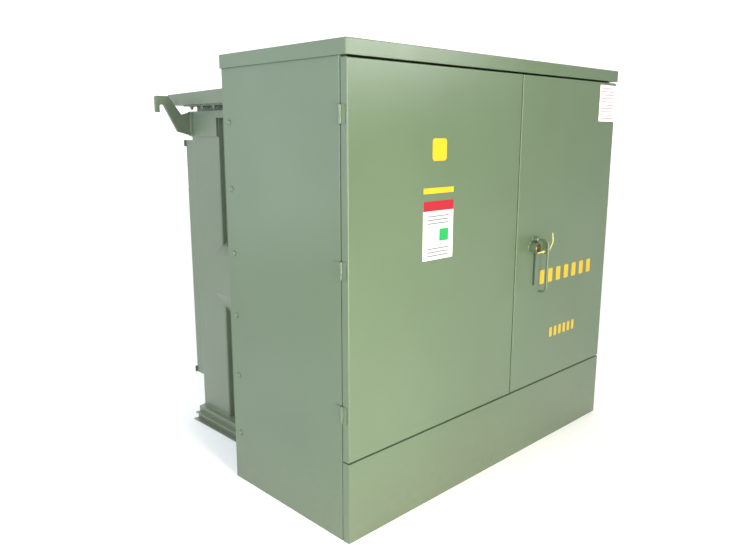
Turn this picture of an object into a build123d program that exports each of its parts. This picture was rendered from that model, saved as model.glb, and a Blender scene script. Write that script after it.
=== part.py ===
from build123d import *
import os

# Pad-mounted power transformer: a steel cable cabinet with two doors, in front of an oil tank.
# Millimetres. X runs left to right across the doors, Z is up from the ground, and Y runs from the
# outer face of the doors (y = 0) back to the cooling fins. The finished pieces are moved along Y at
# the end, so that the origin lies on the ground under the middle of the whole box.

# Cabinet walls
cabinet_width = 1725.0
cabinet_depth = 697.0
wall_height = 1650.0
sheet = 3.0
bend_radius = 4.0
jamb_width = 30.0

# Roof cap and the header under it
cap_skirt = 50.0
cap_side_overhang = 8.0
cap_front_overhang = 3.0
cap_rear_overhang = 3.0
header_setback = 3.0
header_lip = 20.0

# Doors and the sill under them
sill_height = 300.0
return_depth = 30.5
door_rim = 16.0
door_bottom_gap = 5.0
door_top_gap = 7.0
seam_gap = 7.0
side_seam_gap = 5.0
seam_right_of_centre = 87.0
stiffener_width = 46.0
stiffener_depth = 18.0
stiffener_flange = 16.0
stiffener_end_gap = 12.0

# Hinges
hinge_height = 60.0
hinge_end_inset = 170.0
hinge_axis_out = 2.0
hinge_leaf = 2.5
hinge_corner = 4.0
knuckle_radius = 5.5
knuckle_gap = 0.6
pin_radius = 2.5
pin_clearance = 0.05
door_leaf_reach = 24.0
wall_leaf_reach = 34.0
hinge_notch_clearance = 1.5

# Tank
tank_width = 1251.0
tank_step_in = 25.5
tank_wall = 6.0
tank_bend = 9.0
tank_front_length = 418.0
tank_rear_length = 230.0
tank_below_wall_top = 138.0
front_plate = 6.0
front_plate_bottom = 36.0
front_plate_flange = 56.0
top_ring_height = 32.0
collar_thickness = 8.0
collar_height = 112.0
pad_width = 32.0
pad_extra = 4.0

# Neck and cover
neck_inset = 30.5
neck_wall = 10.0
neck_height = 28.0
neck_flange = 60.0
neck_flange_thickness = 6.0
cover_side_overhang = 57.0
cover_front_gap = 6.0
cover_rear_overhang = 105.0
cover_front_height = 65.0
cover_rear_height = 49.0
cover_sheet = 5.0
cover_lip = 42.0
cover_corner = 6.0

# Core and windings in the tank
limb_radius = 95.0
limb_pitch = 390.0
core_window = 520.0
core_foot_height = 50.0
core_foot_width = 120.0
winding_radius = 185.0
winding_clearance = 5.0
winding_end_gap = 20.0

# Base
base_height = 36.0
base_out_of_tank = 31.0
base_web = 6.0
base_flange_thickness = 5.0
base_foot_out = 26.0
base_ledge_out = 14.0
base_flange_in = 24.0
floor_depth = 27.0
floor_thickness = 8.0
floor_side_out = 28.0
anchor_radius = 7.0
anchor_out_of_web = 9.5
anchor_from_front = 145.0
anchor_spacing = 360.0

# Lifting hooks: reaches out from the tank side, and heights above or below the top of the tank
hook_thickness = 14.0
hook_from_rear = 10.0
hook_from_front = 63.0
hook_reach = 182.0
hook_tip_width = 19.0
hook_tip_below = 6.0
hook_top_above = 66.0
hook_shoulder_reach = 118.0
hook_throat_above = 28.0
hook_throat_reach = 142.0
hook_notch_reach = 56.0
hook_notch_below = 16.0
hook_elbow_reach = 77.0
hook_elbow_below = 92.0
hook_throat_radius = 9.0
hook_corner_radius = 8.0

# Side boxes
box_sheet = 4.0
box_out_of_wall = 70.5
box_face_low = 688.0
box_face_height = 186.0
box_slope_below = 107.0
box_slope_above = 49.0

# Cooling fins
fin_inset = 30.0
fin_pitch = 49.0
fin_thickness = 9.0
fin_wall = 1.5
fin_depth = 100.0
fin_bottom = 206.0
fin_top_below_tank_top = 131.0
fin_bar_height = 30.0
fin_bar_thickness = 5.0
fin_bar_end = 8.0

# Handle with its padlock tab and cable tie
handle_right_of_seam = 134.0
handle_height = 968.0
rod_radius = 6.0
rod_stand_off = 70.0
rod_drop = 223.0
rod_bend = 20.0
foot_reach = 36.0
shaft_clearance = 0.08
boss_radius = 14.0
boss_length = 16.0
boss_chamfer = 4.0
tab_reach = 27.0
tab_drop = 56.0
tab_thickness = 5.0
tab_corner = 8.0
padlock_hole = 6.5
hole_from_rod = 17.0
hole_above_edge = 12.0
tie_width = 4.8
tie_thickness = 1.4
tie_seat_gap = 0.3
tie_left_end = 51.0
tie_right_bend = 37.0
tie_bend_radius = 12.0
tie_tail = ((55.0, -6.0, 37.0), (38.0, -12.0, 77.0))

# Latch behind the door, door bolt in its cup, and the strip behind the handle
cam_length = 70.0
cam_width = 26.0
cam_thickness = 6.0
cam_behind_skin = 11.0
cup_left_of_handle = 21.0
cup_below_handle = 33.0
cup_radius = 22.0
cup_wall = 3.0
cup_chamfer = 1.0
cup_clearance = 5.0
bolt_radius = 11.0
bolt_washer_radius = 15.0
bolt_washer = 3.0
bolt_length = 22.0
strip_right_of_handle = 8.0
strip_below_handle = 62.0
strip_length = 141.0
strip_width = 8.0
strip_thickness = 4.0

# Fittings inside the cabinet
barrier_front_gap = 62.0
barrier_foot = 25.0
hv_below_wall_top = 570.0
hv_pitch = 210.0
hv_flange_radius = 62.0
hv_flange = 14.0
hv_body_radius = 44.0
hv_tip_radius = 37.0
hv_length = 120.0
hv_well_radius = 26.0
hv_well_depth = 70.0
lv_below_wall_top = 650.0
lv_pitch = 150.0
lv_flange_radius = 46.0
lv_flange = 12.0
lv_body_radius = 30.0
lv_shed_radius = 40.0
lv_shed = 8.0
lv_length = 80.0
spade_length = 120.0
spade_width = 90.0
spade_thickness = 10.0
spade_pitch = 44.5
spade_hole = 7.0
spade_end_margin = 30.0
valve_height = 400.0
valve_from_side = 150.0
valve_pipe_radius = 17.0
valve_body_radius = 28.0
valve_flange_radius = 36.0
valve_flange = 10.0
valve_neck = 28.0
valve_body = 33.0
valve_length = 95.0
gauge_below_wall_top = 320.0
gauge_pitch = 190.0
gauge_radius = 52.0
gauge_rim = 6.0
gauge_depth = 38.0
gauge_stem_radius = 16.0
gauge_stem = 24.0

half = cabinet_width / 2
cap_top = wall_height + cap_skirt
door_low = sill_height + door_bottom_gap
door_high = wall_height - door_top_gap
jamb_front = return_depth + side_seam_gap
hinge_back = return_depth + side_seam_gap / 2
hinge_heights = (door_low + hinge_end_inset, (door_low + door_high) / 2, door_high - hinge_end_inset)
seam_x = seam_right_of_centre
plate_front = cabinet_depth - front_plate
tank_step = cabinet_depth + tank_front_length
tank_back = tank_step + tank_rear_length
tank_top = wall_height - tank_below_wall_top
rear_side = tank_width / 2
front_side = rear_side - tank_step_in
collar_side = rear_side + collar_thickness
collar_low = tank_top - collar_height
ring_low = tank_top - top_ring_height
tank_floor = base_height + floor_depth
cover_low = tank_top + neck_height
cover_side = rear_side + cover_side_overhang
cover_front = cabinet_depth + cap_rear_overhang + cover_front_gap
cover_back = tank_back + cover_rear_overhang
fin_top = tank_top - fin_top_below_tank_top
fin_nose = tank_back + fin_depth
hook_places = ((cabinet_depth + hook_from_front, front_side), (tank_back - hook_from_rear, rear_side))
handle_x = seam_x + handle_right_of_seam
tab_low = handle_height - tab_drop
tab_back = -rod_stand_off + tab_reach
hole_y = -rod_stand_off + hole_from_rod
hole_z = tab_low + hole_above_edge
cup_x = handle_x - cup_left_of_handle
cup_z = handle_height - cup_below_handle
cup_length = rod_stand_off - tab_reach - cup_clearance
core_y = (cabinet_depth + tank_back) / 2
core_low = tank_floor + core_foot_height
window_low = core_low + 2 * limb_radius
window_high = window_low + core_window
hv_height = wall_height - hv_below_wall_top
lv_height = wall_height - lv_below_wall_top
gauge_height = wall_height - gauge_below_wall_top
right_bay = (seam_x + half) / 2


def block(x0, x1, y0, y1, z0, z1):
    """A box between two corners."""
    return Pos((x0 + x1) / 2, (y0 + y1) / 2, (z0 + z1) / 2) * Box(x1 - x0, y1 - y0, z1 - z0)


def bar(radius, start, end):
    """A round bar from one point to another."""
    along = Vector(*end) - Vector(*start)
    return extrude(Plane(origin=start, z_dir=along) * Circle(radius), along.length)


def cut_plate(outline, x, y, z, thickness):
    """A plate of a drawn outline, whose axes are X and up, from its back face at y towards the doors."""
    drawing = Plane(origin=(x, y, z), x_dir=(1, 0, 0), z_dir=(0, -1, 0)) * outline
    return extrude(drawing, thickness, dir=(0, -1, 0))


def turned(x, y, z, *outline):
    """A piece turned about a line towards the doors, from points of (radius, distance from y)."""
    plan = Plane(origin=(x, y, z), x_dir=(1, 0, 0), z_dir=(0, 0, -1))
    return revolve(plan * make_face(Polyline(*outline, close=True)), Axis((x, y, z), (0, 1, 0)))


def other_side(shape):
    """The same piece on the right of the transformer."""
    return mirror(shape, about=Plane.YZ)


def tray(x0, x1, z0, z1):
    """A folded sheet tray with rounded front edges and a turned-in rim at the back."""
    outer = block(x0, x1, 0, return_depth, z0, z1)
    outer = fillet(outer.faces().sort_by(Axis.Y)[0].edges(), bend_radius)
    rim_front = return_depth - sheet
    hollow = block(x0 + sheet, x1 - sheet, sheet, rim_front, z0 + sheet, z1 - sheet)
    mouth = block(x0 + door_rim, x1 - door_rim, rim_front, return_depth, z0 + door_rim, z1 - door_rim)
    return outer - hollow - mouth


def cut_hinge_notches(shape, side_x):
    """Leaves room round the hinge barrels on one side of a door or a wall."""
    room = knuckle_radius + hinge_notch_clearance
    tall = hinge_height / 2 + hinge_notch_clearance
    wide = room + sheet
    for z in hinge_heights:
        shape -= block(side_x - wide, side_x + wide, hinge_back - room, hinge_back + room, z - tall, z + tall)
    return shape


def make_side_panel():
    """The left cabinet wall, with its inward door jamb and the strip that the sill bolts to."""
    x = -half
    top = cap_top - sheet
    outer = block(x, x + sheet + jamb_width, jamb_front, cabinet_depth, 0, top)
    upright = outer.edges().filter_by(Axis.Z)
    front_corner = upright.sort_by(lambda edge: edge.center().X + edge.center().Y)[0]
    panel = fillet(front_corner, bend_radius) - block(x + sheet, half, jamb_front + sheet, cabinet_depth, 0, top)
    seat = block(x + sheet, x + sheet + jamb_width, return_depth, jamb_front, 0, sill_height - sheet)
    return cut_hinge_notches(panel + seat, x)


def make_roof():
    """The cap: a flat sheet with a skirt all round, folded from one piece."""
    x = half + cap_side_overhang
    front = -cap_front_overhang
    back = cabinet_depth + cap_rear_overhang
    outer = block(-x, x, front, back, wall_height, cap_top)
    folds = outer.edges().filter_by(Axis.Z) + outer.faces().sort_by(Axis.Z)[-1].edges()
    hollow = block(-x + sheet, x - sheet, front + sheet, back - sheet, wall_height, cap_top - sheet)
    return fillet(folds, bend_radius) - hollow


def make_header():
    """The channel over the doors, between the two walls and under the cap."""
    x = half - sheet
    top = cap_top - sheet
    front = header_setback
    web = block(-x, x, front, front + sheet, wall_height, top)
    shelf = block(-x, x, front, jamb_front, wall_height, wall_height + sheet)
    lip = block(-x, x, front, front + header_lip, top - sheet, top)
    return web + shelf + lip


def make_stiffener(x):
    """A hat section on the inside of a door's skin, from near its bottom to near its top."""
    low = door_low + door_rim + stiffener_end_gap
    high = door_high - door_rim - stiffener_end_gap
    wide = stiffener_width / 2
    crown = block(x - wide, x + wide, sheet, sheet + stiffener_depth, low, high)
    flanges = block(x - wide - stiffener_flange, x + wide + stiffener_flange, sheet, 2 * sheet, low, high)
    channel = block(x - wide + sheet, x + wide - sheet, sheet, stiffener_depth, low, high)
    return crown + flanges - channel


def hinge_parts():
    """The left hinges: wall leaves with the outer knuckles, door leaves with the middle one, and pins."""
    x = -half - hinge_axis_out
    y = hinge_back
    outer, inner = -half - hinge_leaf, -half
    room = knuckle_radius + hinge_notch_clearance
    third = hinge_height / 3
    wall_leaves = []
    door_leaves = []
    pins = []
    for z in hinge_heights:
        low = z - hinge_height / 2
        high = z + hinge_height / 2
        bore = bar(pin_radius + pin_clearance, (x, y, low), (x, y, high))

        plate = block(outer, inner, y, y + wall_leaf_reach, low, high)
        plate = fillet(plate.edges().filter_by(Axis.X).group_by(Axis.Y)[-1], hinge_corner)
        middle = block(x - room, x + room, y - room, y + room, low + third - knuckle_gap,
                       high - third + knuckle_gap)
        wall_leaves.append(plate + bar(knuckle_radius, (x, y, low), (x, y, high)) - middle - bore)

        flag = block(outer, inner, y - door_leaf_reach, y - room, low, high)
        flag = fillet(flag.edges().filter_by(Axis.X).group_by(Axis.Y)[0], hinge_corner)
        tongue = block(outer, inner, y - room, y, low + third, high - third)
        knuckle = bar(knuckle_radius, (x, y, low + third), (x, y, high - third))
        door_leaves.append(flag + tongue + knuckle - bore)

        pins.append(bar(pin_radius, (x, y, low), (x, y, high)))
    return Compound(wall_leaves), Compound(door_leaves), Compound(pins)


def make_front_plate():
    """The tank's front plate, as wide as the cabinet, with flanges that the walls bolt to."""
    x = half - sheet
    low, high = front_plate_bottom, cap_top - sheet
    plate = block(-x, x, plate_front, cabinet_depth, low, high)
    flange = block(-x, -x + front_plate, plate_front - front_plate_flange, plate_front, low, high)
    return plate + flange + other_side(flange)


def tank_outline(inset=0.0):
    """The tank seen from above: narrow behind the cabinet and wider at the back."""
    front = front_side - inset
    rear = rear_side - inset
    step = tank_step + inset
    back = tank_back - inset
    return Polygon((-front, cabinet_depth), (front, cabinet_depth), (front, step), (rear, step),
                   (rear, back), (-rear, back), (-rear, step), (-front, step), align=None)


def make_tank():
    """The tank wall, folded to a stepped tube that is closed by the plates round it."""
    height = ring_low - tank_floor
    outer = Pos(0, 0, tank_floor) * extrude(tank_outline(), height)
    upright = outer.edges().filter_by(Axis.Z)
    folds = upright.filter_by(lambda edge: abs(edge.center().X) > (front_side + rear_side) / 2)
    return fillet(folds, tank_bend) - Pos(0, 0, tank_floor) * extrude(tank_outline(tank_wall), height)


def make_floor():
    """The tank's bottom plate, with skirts at its sides and back that stand on the channels."""
    x = rear_side + floor_side_out
    outer = block(-x, x, cabinet_depth, tank_back, base_height, tank_floor)
    hollow = block(-x + tank_wall, x - tank_wall, cabinet_depth, tank_back - tank_wall, base_height,
                   tank_floor - floor_thickness)
    return outer - hollow


def make_top_ring():
    """The ring round the top of the tank, with the neck and the flange that carry the cover."""
    neck = rear_side - neck_inset
    rim = neck + neck_flange
    front = cover_front + cover_sheet + neck_wall
    back = tank_back - neck_wall
    ring = block(-collar_side, collar_side, cabinet_depth, tank_back + collar_thickness, ring_low, tank_top)
    tube = block(-neck, neck, front, back, tank_top, cover_low)
    flange = block(-rim, rim, front, tank_back + collar_thickness, cover_low - neck_flange_thickness, cover_low)
    well = block(-neck + neck_wall, neck - neck_wall, front + neck_wall, back - neck_wall, ring_low, cover_low)
    return ring + tube + flange - well


def cover_profile(inset, low):
    """The cover seen from its side, as far inside its outer faces as the inset says."""
    front = cover_front + inset
    back = cover_back - inset
    front_top = cover_low + cover_front_height - inset
    back_top = cover_low + cover_rear_height - inset
    return Plane.YZ * Polygon((front, low), (back, low), (back, back_top), (front, front_top), align=None)


def make_cover():
    """The tank cover: a skirted lid that falls to the back, with a lip that rests on the neck's flange."""
    outer = extrude(cover_profile(0, cover_low), cover_side, both=True)
    outer = fillet(outer.edges().filter_by(Axis.Z), cover_corner)
    hollow = extrude(cover_profile(cover_sheet, cover_low + cover_sheet), cover_side - cover_sheet, both=True)
    mouth = block(-cover_side + cover_lip, cover_side - cover_lip, cover_front + cover_lip, cover_back - cover_lip,
                  cover_low, cover_low + cover_sheet)
    return outer - hollow - mouth


def limb_places():
    """The places of the core's three limbs from left to right."""
    return [i * limb_pitch for i in (-1, 0, 1)]


def make_core():
    """The core in the tank: three round limbs between two yokes, with feet that stand on the tank's floor."""
    x = limb_pitch + limb_radius
    front, back = core_y - limb_radius, core_y + limb_radius
    core = block(-x, x, front, back, core_low, window_low)
    core += block(-x, x, front, back, window_high, window_high + 2 * limb_radius)
    for limb in limb_places():
        core += bar(limb_radius, (limb, core_y, window_low), (limb, core_y, window_high))
        core += block(limb - core_foot_width / 2, limb + core_foot_width / 2, core_y - winding_radius,
                      core_y + winding_radius, tank_floor, core_low)
    return core


def make_windings():
    """A round winding on each limb, which rests on the lower yoke."""
    high = window_high - winding_end_gap
    windings = []
    for limb in limb_places():
        winding = bar(winding_radius, (limb, core_y, window_low), (limb, core_y, high))
        windings.append(winding - bar(limb_radius + winding_clearance, (limb, core_y, window_low),
                                      (limb, core_y, high)))
    return Compound(windings)


def make_base_channel():
    """The left base channel: a web with a ledge above and a foot below, which has the anchor holes."""
    web_in = -rear_side - base_out_of_tank
    web_out = web_in - base_web
    inside = web_in + base_flange_in
    thick = base_flange_thickness
    web = block(web_out, web_in, cabinet_depth, tank_back, 0, base_height)
    foot = block(web_out - base_foot_out, inside, cabinet_depth, tank_back, 0, thick)
    ledge = block(web_out - base_ledge_out, inside, cabinet_depth, tank_back, base_height - thick, base_height)
    channel = web + foot + ledge
    x = web_out - anchor_out_of_web
    first = cabinet_depth + anchor_from_front
    for y in (first, first + anchor_spacing):
        channel -= bar(anchor_radius, (x, y, 0), (x, y, thick))
    return channel


def make_collar():
    """The plate that thickens the top of the wide tank section on the left."""
    return block(-collar_side, -rear_side, tank_step, tank_back - pad_width, collar_low, ring_low)


def make_hook_pad(y, side):
    """The left pad that a lifting hook is welded to, against the tank side and the ring above it."""
    front = y + hook_from_rear - pad_width
    back = y + hook_from_rear
    out = side + collar_thickness + pad_extra
    pad = block(-out, -side, front, back, collar_low, ring_low)
    if out > collar_side:
        pad += block(-out, -collar_side, front, back, ring_low, tank_top)
    return pad


def make_hook(y, side):
    """A left lifting hook cut from plate: its root stands on its pad, and its throat opens downwards."""
    wall = -rear_side
    tip = wall - hook_reach
    top = tank_top + hook_top_above
    throat = tank_top + hook_throat_above
    tip_low = tank_top - hook_tip_below
    tip_inside = tip + hook_tip_width
    outline = Polygon((-side, collar_low), (wall - hook_elbow_reach, tank_top - hook_elbow_below),
                      (wall - hook_throat_reach, throat), (tip_inside, throat), (tip_inside, tip_low),
                      (tip, tip_low), (tip, top), (wall - hook_shoulder_reach, top),
                      (wall - hook_notch_reach, tank_top - hook_notch_below), (-side, tank_top), align=None)
    outline = fillet(outline.vertices().filter_by(lambda point: abs(point.Y - throat) < 1), hook_throat_radius)
    bends = (wall - hook_elbow_reach, wall - hook_notch_reach)
    corners = [point for point in outline.vertices()
               if abs(point.Y - top) < 1 or min(abs(point.X - bend) for bend in bends) < 1]
    outline = fillet(corners, hook_corner_radius)
    hook = cut_plate(outline, 0, y + hook_thickness / 2, 0, hook_thickness)
    ring = block(-collar_side, 0, cabinet_depth, tank_back, ring_low, tank_top)
    return hook - ring - make_hook_pad(y, side)


def make_side_box():
    """The sheet box on the left of the narrow tank section, with a sloped top and bottom."""
    wall = -front_side
    face = wall - box_out_of_wall
    face_high = box_face_low + box_face_height
    low = box_face_low - box_slope_below
    high = face_high + box_slope_above
    slopes = ((wall, low), (face, box_face_low), (face, face_high), (wall, high))
    outline = Polygon(*slopes, align=None)
    room = offset(Polygon((0, low), *slopes, (0, high), align=None), -box_sheet, kind=Kind.INTERSECTION)
    box = cut_plate(outline, 0, tank_step, 0, tank_front_length)
    return box - cut_plate(room, 0, tank_step - box_sheet, 0, tank_front_length - 2 * box_sheet)


def fin_pocket(radius, nose, low, high):
    """A flat pocket with a round nose that stands on the back of the tank."""
    centre = nose - radius
    return block(-radius, radius, tank_back, centre, low, high) + bar(radius, (0, centre, low), (0, centre, high))


def make_fins():
    """The bank of hollow cooling fins on the back of the tank, evenly spaced."""
    outside = fin_thickness / 2
    fin = (fin_pocket(outside, fin_nose, fin_bottom, fin_top)
           - fin_pocket(outside - fin_wall, fin_nose - fin_wall, fin_bottom + fin_wall, fin_top - fin_wall))
    span = tank_width - 2 * fin_inset
    gaps = int(span / fin_pitch)
    return Compound([Pos(-span / 2 + i * span / gaps, 0, 0) * fin for i in range(gaps + 1)])


def make_fin_bars():
    """The two flat bars that tie the noses of the fins together."""
    x = rear_side - fin_inset + fin_thickness / 2 + fin_bar_end
    return Compound([block(-x, x, fin_nose, fin_nose + fin_bar_thickness, low, low + fin_bar_height)
                     for low in (fin_bottom, fin_top - fin_bar_height)])


def make_handle():
    """The handle: a round bar from the latch cam out through the door, down, and back at its foot."""
    low = handle_height - rod_drop
    path = FilletPolyline((handle_x, sheet + cam_behind_skin + cam_thickness, handle_height),
                          (handle_x, -rod_stand_off, handle_height), (handle_x, -rod_stand_off, low),
                          (handle_x, foot_reach - rod_stand_off, low), radius=rod_bend)
    return sweep(Plane(origin=path @ 0, z_dir=path % 0) * Circle(rod_radius), path=path)


def make_padlock_tab():
    """The flat tab that is welded into the handle's upper bend, with the padlock hole."""
    x0 = handle_x - tab_thickness / 2
    x1 = handle_x + tab_thickness / 2
    tab = block(x0, x1, -rod_stand_off, tab_back, tab_low, handle_height)
    across = tab.edges().filter_by(Axis.X)
    tab = fillet(across.group_by(Axis.Z)[-1].sort_by(Axis.Y)[0], rod_bend)
    tab = fillet(tab.edges().filter_by(Axis.X).group_by(Axis.Z)[0].sort_by(Axis.Y)[-1], tab_corner)
    return tab - make_handle() - bar(padlock_hole, (x0, hole_y, hole_z), (x1, hole_y, hole_z))


def make_tie():
    """A plastic cable tie through the padlock hole: a short end on the left, and a tail that stands up."""
    z = hole_z - padlock_hole + tie_seat_gap + tie_width / 2
    right = handle_x + tie_right_bend
    tail = [(handle_x + dx, hole_y + dy, z + dz) for dx, dy, dz in tie_tail]
    path = FilletPolyline((handle_x - tie_left_end, hole_y, z), (right, hole_y, z), *tail, radius=tie_bend_radius)
    return sweep(Plane(origin=path @ 0, x_dir=(0, 1, 0), z_dir=path % 0) * Rectangle(tie_thickness, tie_width),
                 path=path)


def make_boss():
    """The bearing boss welded to the door round the handle's shaft."""
    centre = (handle_x, 0, handle_height)
    front = (handle_x, -boss_length, handle_height)
    boss = bar(boss_radius, centre, front)
    boss = chamfer(boss.edges().sort_by(Axis.Y)[0], boss_chamfer)
    return boss - bar(rod_radius + shaft_clearance, centre, front)


def make_cam():
    """The latch cam on the inner end of the handle's shaft."""
    outline = SlotOverall(cam_length, cam_width, rotation=90) - Circle(rod_radius)
    return cut_plate(outline, handle_x, sheet + cam_behind_skin + cam_thickness, handle_height, cam_thickness)


def make_cup():
    """The round shroud that guards the door bolt."""
    centre = (cup_x, 0, cup_z)
    front = (cup_x, -cup_length, cup_z)
    cup = bar(cup_radius, centre, front)
    cup = chamfer(cup.edges().sort_by(Axis.Y)[0], cup_chamfer)
    return cup - bar(cup_radius - cup_wall, centre, front)


def make_door_bolt():
    """The five-sided door bolt on its washer, inside the cup."""
    washer = bar(bolt_washer_radius, (cup_x, 0, cup_z), (cup_x, -bolt_washer, cup_z))
    head = cut_plate(RegularPolygon(bolt_radius, 5), cup_x, -bolt_washer, cup_z, bolt_length - bolt_washer)
    return washer + head


def make_strip():
    """The strip that keeps the hanging handle off the paint of the door."""
    z = handle_height - strip_below_handle - strip_length / 2
    outline = SlotOverall(strip_length, strip_width, rotation=90)
    return cut_plate(outline, handle_x + strip_right_of_handle, 0, z, strip_thickness)


def make_barrier():
    """The steel sheet between the high and the low voltage sides, with its foot on the front plate."""
    x = seam_x - sheet / 2
    wall = block(x, x + sheet, barrier_front_gap, plate_front, sill_height, wall_height)
    return wall + block(x, x + barrier_foot, plate_front - sheet, plate_front, sill_height, wall_height)


def make_hv_bushings():
    """Three bushing wells in a row on the left of the front plate."""
    outline = ((0, 0), (hv_flange_radius, 0), (hv_flange_radius, hv_flange), (hv_body_radius, 2 * hv_flange),
               (hv_tip_radius, hv_length), (hv_well_radius, hv_length),
               (hv_well_radius, hv_length - hv_well_depth), (0, hv_length - hv_well_depth))
    centre = (seam_x - half) / 2
    return Compound([turned(centre + i * hv_pitch, plate_front, hv_height, *outline) for i in (-1, 0, 1)])


def lv_places():
    """The places of the four low voltage bushings from left to right."""
    return [right_bay + i * lv_pitch for i in (-1.5, -0.5, 0.5, 1.5)]


def make_lv_bushings():
    """Four low voltage bushings with two sheds each, on the right of the front plate."""
    body = lv_body_radius
    step = (lv_length - lv_flange) / 3
    outline = [(0, 0), (lv_flange_radius, 0), (lv_flange_radius, lv_flange)]
    for near in (lv_flange + step - lv_shed, lv_flange + 2 * step - lv_shed / 2):
        outline += [(body, near - lv_shed), (lv_shed_radius, near), (lv_shed_radius, near + lv_shed),
                    (body, near + lv_shed)]
    outline += [(body, lv_length), (0, lv_length)]
    return Compound([turned(x, plate_front, lv_height, *outline) for x in lv_places()])


def make_spades():
    """The flat copper terminals on the low voltage bushings, with four holes each."""
    back = plate_front - lv_length
    front = back - spade_length
    wide = spade_thickness / 2
    spades = []
    for x in lv_places():
        spade = block(x - wide, x + wide, front, back, lv_height - spade_width / 2, lv_height + spade_width / 2)
        for y in (front + spade_end_margin, front + spade_end_margin + spade_pitch):
            for z in (lv_height - spade_pitch / 2, lv_height + spade_pitch / 2):
                spade -= bar(spade_hole, (x - wide, y, z), (x + wide, y, z))
        spades.append(spade)
    return Compound(spades)


def make_drain_valve():
    """The drain valve low on the right of the front plate, with its plug."""
    pipe = valve_pipe_radius
    body = valve_body_radius
    near = valve_flange + valve_neck
    far = near + valve_body
    return turned(half - valve_from_side, plate_front, valve_height, (0, 0), (valve_flange_radius, 0),
                  (valve_flange_radius, valve_flange), (pipe, valve_flange), (pipe, near), (body, near), (body, far),
                  (pipe, far), (pipe, valve_length), (0, valve_length))


def make_gauges():
    """The two round gauges, oil level and oil temperature, on the right of the front plate."""
    glass = gauge_stem + gauge_depth - sheet
    rim = gauge_stem + gauge_depth
    outline = ((0, 0), (gauge_stem_radius, 0), (gauge_stem_radius, gauge_stem), (gauge_radius, gauge_stem),
               (gauge_radius, rim), (gauge_radius - gauge_rim, rim), (gauge_radius - gauge_rim, glass), (0, glass))
    return Compound([turned(right_bay + i * gauge_pitch / 2, plate_front, gauge_height, *outline) for i in (-1, 1)])


def build():
    """Every piece of the transformer by the name of its node."""
    left_edges = (-half, seam_x - seam_gap / 2)
    right_edges = (seam_x + seam_gap / 2, half)
    cam_edge = handle_x + cam_length / 2
    shaft_hole = bar(rod_radius + shaft_clearance, (handle_x, 0, handle_height), (handle_x, sheet, handle_height))
    wall_leaves, door_leaves, pins = hinge_parts()
    side_panel = make_side_panel()
    channel = make_base_channel()
    collar = make_collar()
    side_box = make_side_box()
    pads = [make_hook_pad(*place) for place in hook_places]
    hooks = [make_hook(*place) for place in hook_places]
    return {
        "left_side_panel": side_panel,
        "right_side_panel": other_side(side_panel),
        "roof_cap": make_roof(),
        "door_header": make_header(),
        "sill_panel": tray(-half, half, 0, sill_height),
        "left_door": cut_hinge_notches(tray(*left_edges, door_low, door_high), -half),
        "right_door": cut_hinge_notches(tray(*right_edges, door_low, door_high), half) - shaft_hole,
        "left_door_stiffener": make_stiffener(sum(left_edges) / 2),
        "right_door_stiffener": make_stiffener((cam_edge + half) / 2),
        "left_hinge_wall_leaves": wall_leaves,
        "left_hinge_door_leaves": door_leaves,
        "right_hinge_wall_leaves": other_side(wall_leaves),
        "right_hinge_door_leaves": other_side(door_leaves),
        "hinge_pins": Compound(pins.solids() + other_side(pins).solids()),
        "centre_barrier": make_barrier(),
        "tank_front_plate": make_front_plate(),
        "tank_wall": make_tank(),
        "tank_floor": make_floor(),
        "transformer_core": make_core(),
        "windings": make_windings(),
        "tank_top_flange": make_top_ring(),
        "tank_cover": make_cover(),
        "left_base_channel": channel,
        "right_base_channel": other_side(channel),
        "belt_plates": Compound([collar, other_side(collar)]),
        "hook_pads": Compound(pads + [other_side(pad) for pad in pads]),
        "left_lifting_hooks": Compound(hooks),
        "right_lifting_hooks": Compound([other_side(hook) for hook in hooks]),
        "left_side_box": side_box,
        "right_side_box": other_side(side_box),
        "cooling_fins": make_fins(),
        "fin_tie_bars": make_fin_bars(),
        "door_handle": make_handle(),
        "padlock_tab": make_padlock_tab(),
        "handle_tie": make_tie(),
        "handle_boss": make_boss(),
        "latch_cam": make_cam(),
        "bolt_shroud": make_cup(),
        "door_bolt": make_door_bolt(),
        "handle_bumper": make_strip(),
        "hv_bushings": make_hv_bushings(),
        "lv_bushings": make_lv_bushings(),
        "lv_spades": make_spades(),
        "drain_valve": make_drain_valve(),
        "oil_gauges": make_gauges(),
    }


# The whole box runs from the front of the handle to the back of the cover or of the fin bars.
front_reach = rod_stand_off + rod_radius
rear_reach = max(cover_back, fin_nose + fin_bar_thickness)
to_origin = Pos(0, -(rear_reach - front_reach) / 2, 0)

os.makedirs("parts", exist_ok=True)
for node, shape in build().items():
    export_step(to_origin * shape, "parts/" + node + ".step")
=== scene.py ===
import math

import bmesh
import bpy
from bpy.props import FloatProperty, FloatVectorProperty, IntProperty, PointerProperty
from mathutils import Matrix, Vector


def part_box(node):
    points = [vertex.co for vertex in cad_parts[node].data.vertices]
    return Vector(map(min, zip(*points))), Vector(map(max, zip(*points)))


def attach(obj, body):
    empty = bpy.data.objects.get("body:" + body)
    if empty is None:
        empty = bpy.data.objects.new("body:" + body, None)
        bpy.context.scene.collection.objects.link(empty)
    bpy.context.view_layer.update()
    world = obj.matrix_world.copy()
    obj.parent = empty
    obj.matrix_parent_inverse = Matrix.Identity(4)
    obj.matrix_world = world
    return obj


# The looks of a pad-mounted power transformer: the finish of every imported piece, its bolts, nuts, welds
# and seals, the gauges' dials, and plain marks on the doors. Everything is in metres, in the row's frame.

bl_info = {
    "name": "Power transformer looks",
    "version": (1, 0, 0),
    "blender": (4, 5, 0),
    "location": "3D View > Sidebar > Transformer",
    "description": "Finishes, fittings, welds and plain marks for a pad-mounted transformer",
    "category": "Object",
}

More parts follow.
